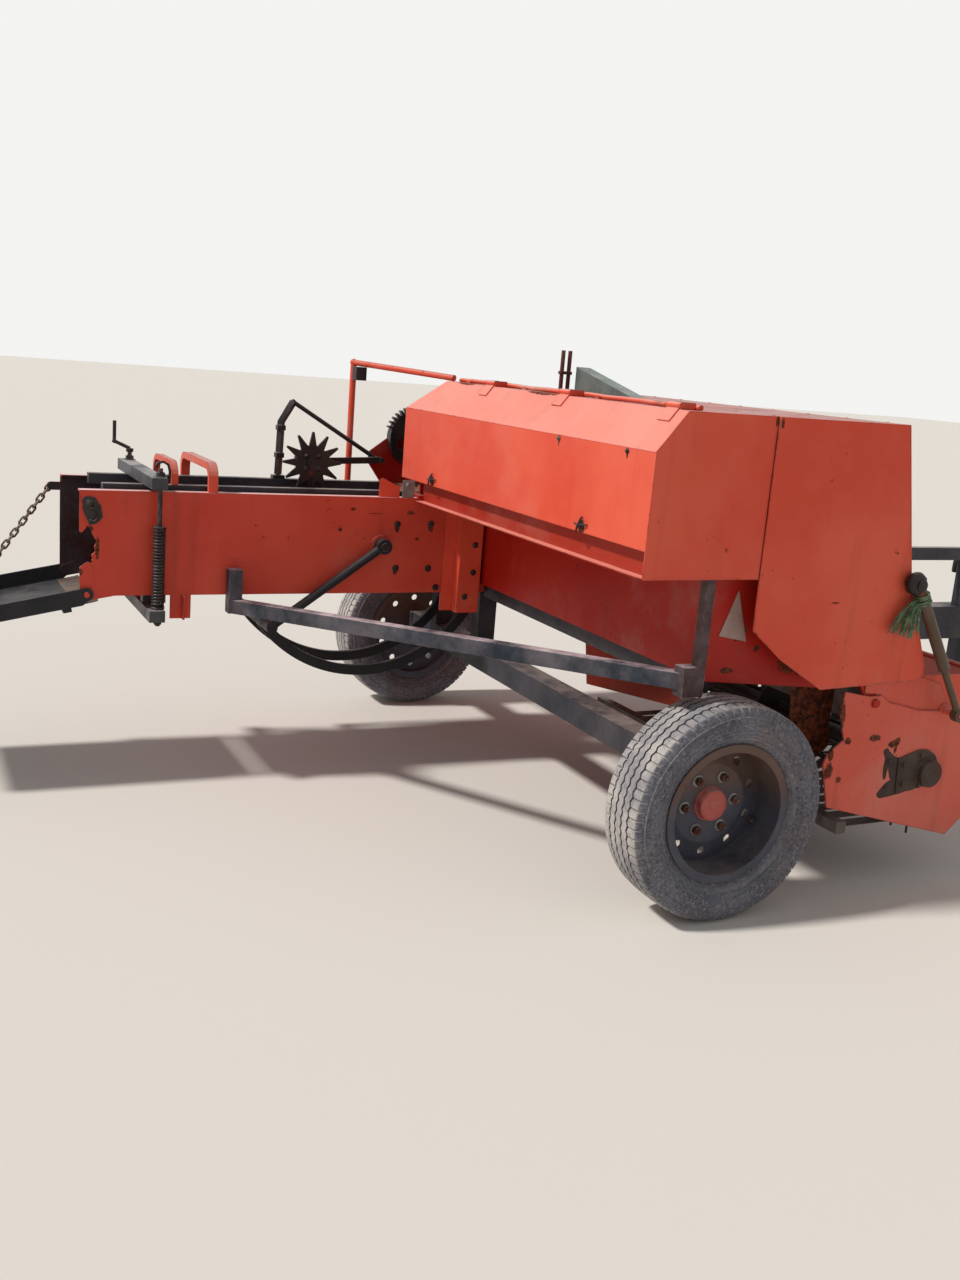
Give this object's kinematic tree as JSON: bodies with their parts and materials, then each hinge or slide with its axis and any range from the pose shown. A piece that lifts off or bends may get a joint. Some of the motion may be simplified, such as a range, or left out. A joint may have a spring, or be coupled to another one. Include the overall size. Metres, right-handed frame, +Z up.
{
  "type": "square baler",
  "caption": "Towed square baler with hooded side feeder, tined pickup, bale chamber with spring density gear, needles, knotters and drawbar",
  "frame": {"origin": "on the ground, below the middle of the machine's bounding box", "axes": "+X forward along the machine, +Y left, +Z up"},
  "size_m": [5.6429, 2.653, 1.68],
  "materials": {
    "paint": "faded orange-red paint, chalked and rusted at the edges",
    "paint_dark": "dark red paint in the shade, rusted",
    "steel_dark": "weathered black-blue steel",
    "steel_blue": "grey-blue paint, worn",
    "steel_bare": "bare worn steel with rust film",
    "rubber": "dusty old rubber",
    "olive": "olive paint, worn",
    "plate_pale": "faded blank plate",
    "galvanised": "dull zinc coat"
  },
  "bodies": {
    "frame": {"chamber_wall_right": "paint", "chamber_wall_left": "paint", "chamber_floor": "paint_dark", "chamber_cover": "paint", "tension_rails": "steel_dark", "density_beams": "steel_blue", "density_springs": "steel_dark", "density_crank": "steel_dark", "chamber_arches": "paint", "front_plate": "paint", "gearbox": "steel_dark", "axle": "steel_dark", "chamber_pillars": "paint", "side_brace": "steel_dark", "feeder_trough": "paint_dark", "feeder_frame": "steel_dark", "end_panel": "paint", "top_deck": "paint", "deck_stand": "steel_bare", "corner_post": "paint", "rear_lamp": "steel_dark", "knotter_frame": "paint", "measuring_arm": "steel_dark", "warning_plate": "plate_pale", "lid_skirt": "paint", "twine_box": "paint", "drawbar_carrier": "paint"},
    "right_wheel": {"right_tyre": "rubber", "right_rim": "steel_dark"},
    "left_wheel": {"left_tyre": "rubber", "left_rim": "steel_dark"},
    "flywheel": {"flywheel": "steel_dark"},
    "knotter_shaft": {"knotter_shaft": "steel_bare"},
    "star_wheel": {"star_wheel": "steel_dark"},
    "plunger": {"plunger": "steel_bare"},
    "feeder_carriage": {"feeder_carriage": "steel_bare"},
    "needle_yoke": {"needle_yoke": "steel_dark"},
    "hood_lid": {"hood_lid": "paint"},
    "twine_box_lid": {"twine_box_lid": "paint"},
    "pickup": {"pickup_plates": "paint", "pickup_bands": "galvanised"},
    "pickup_reel": {"pickup_reel": "steel_dark"},
    "wind_guard": {"wind_guard": "paint"},
    "lift_barrel": {"lift_barrel": "olive"},
    "lift_rod": {"lift_rod": "olive"},
    "drawbar": {"drawbar": "steel_dark", "guard_rail": "steel_dark"},
    "jack": {"jack_leg": "steel_blue"},
    "bale_chute": {"bale_chute": "steel_blue"},
    "chute_chain": {"chute_chain": "steel_bare"}
  },
  "joints": [
    {"name": "right_wheel_roll", "type": "hinge", "parent": "frame", "child": "right_wheel", "pos_m": [-0.47651, -1.2265, 0.345], "axis": [0, 1, 0], "continuous": true},
    {"name": "left_wheel_roll", "type": "hinge", "parent": "frame", "child": "left_wheel", "pos_m": [-0.47651, 1.2265, 0.345], "axis": [0, 1, 0], "continuous": true},
    {"name": "flywheel_spin", "type": "hinge", "parent": "frame", "child": "flywheel", "pos_m": [1.26249, 0.6515, 0.93], "axis": [1, 0, 0], "continuous": true},
    {"name": "knotter_turn", "type": "hinge", "parent": "frame", "child": "knotter_shaft", "pos_m": [-0.68151, 0.6515, 1.27], "axis": [0, 1, 0], "continuous": true},
    {"name": "star_wheel_turn", "type": "hinge", "parent": "frame", "child": "star_wheel", "pos_m": [-1.17651, 0.6915, 1.165], "axis": [0, 1, 0], "continuous": true},
    {"name": "plunger_stroke", "type": "slide", "parent": "frame", "child": "plunger", "axis": [1, 0, 0], "range_m": [-0.7, 0]},
    {"name": "feeder_stroke", "type": "slide", "parent": "frame", "child": "feeder_carriage", "axis": [0, 1, 0], "range_m": [-1.15, 0]},
    {"name": "needle_swing", "type": "hinge", "parent": "frame", "child": "needle_yoke", "pos_m": [-0.97651, 0.6515, 0.88], "axis": [0, -1, 0], "range_deg": [0, 68]},
    {"name": "hood_open", "type": "hinge", "parent": "frame", "child": "hood_lid", "pos_m": [-0.74251, -0.3485, 1.541], "axis": [0, 1, 0], "range_deg": [0, 75]},
    {"name": "twine_box_open", "type": "hinge", "parent": "frame", "child": "twine_box_lid", "pos_m": [-0.18651, 0.9115, 1.182], "axis": [1, 0, 0], "range_deg": [0, 100]},
    {"name": "pickup_lift", "type": "hinge", "parent": "frame", "child": "pickup", "pos_m": [0.12349, -0.4485, 0.64], "axis": [0, -1, 0], "range_deg": [0, 22]},
    {"name": "reel_spin", "type": "hinge", "parent": "pickup", "child": "pickup_reel", "pos_m": [0.39849, -0.4485, 0.385], "axis": [0, 1, 0], "continuous": true},
    {"name": "wind_guard_lift", "type": "hinge", "parent": "pickup", "child": "wind_guard", "pos_m": [0.53349, -0.4485, 0.54], "axis": [0, -1, 0], "range_deg": [0, 35]},
    {"name": "lift_strut_swing", "type": "hinge", "parent": "frame", "child": "lift_barrel", "pos_m": [0.17549, -1.2745, 1.04], "axis": [0, -1, 0], "range_deg": [0, 8.04]},
    {"name": "lift_strut_close", "type": "slide", "parent": "lift_barrel", "child": "lift_rod", "axis": [0.5159, 0, -0.8566], "range_m": [-0.1066, 0]},
    {"name": "drawbar_swing", "type": "hinge", "parent": "frame", "child": "drawbar", "pos_m": [0.92349, 0.3015, 0.54], "axis": [0, 0, 1], "range_deg": [-28, 0]},
    {"name": "jack_fold", "type": "hinge", "parent": "drawbar", "child": "jack", "pos_m": [2.27349, 0.4425, 0.54], "axis": [0, 1, 0], "range_deg": [0, 90]},
    {"name": "chute_fold", "type": "hinge", "parent": "frame", "child": "bale_chute", "pos_m": [-2.09051, 0.6515, 0.694], "axis": [0, 1, 0], "range_deg": [0, 75]},
    {"name": "chain_swing", "type": "hinge", "parent": "frame", "child": "chute_chain", "pos_m": [-2.14851, 0.9295, 1.02], "axis": [0, -1, 0], "range_deg": [0, 35.3]}
  ],
  "couplings": [
    {"joint": "lift_strut_swing", "follows": "pickup_lift", "ratio": 0.3566},
    {"joint": "lift_strut_close", "follows": "pickup_lift", "m_per_rad": -0.2723},
    {"joint": "chain_swing", "follows": "chute_fold", "ratio": 0.4665}
  ]
}
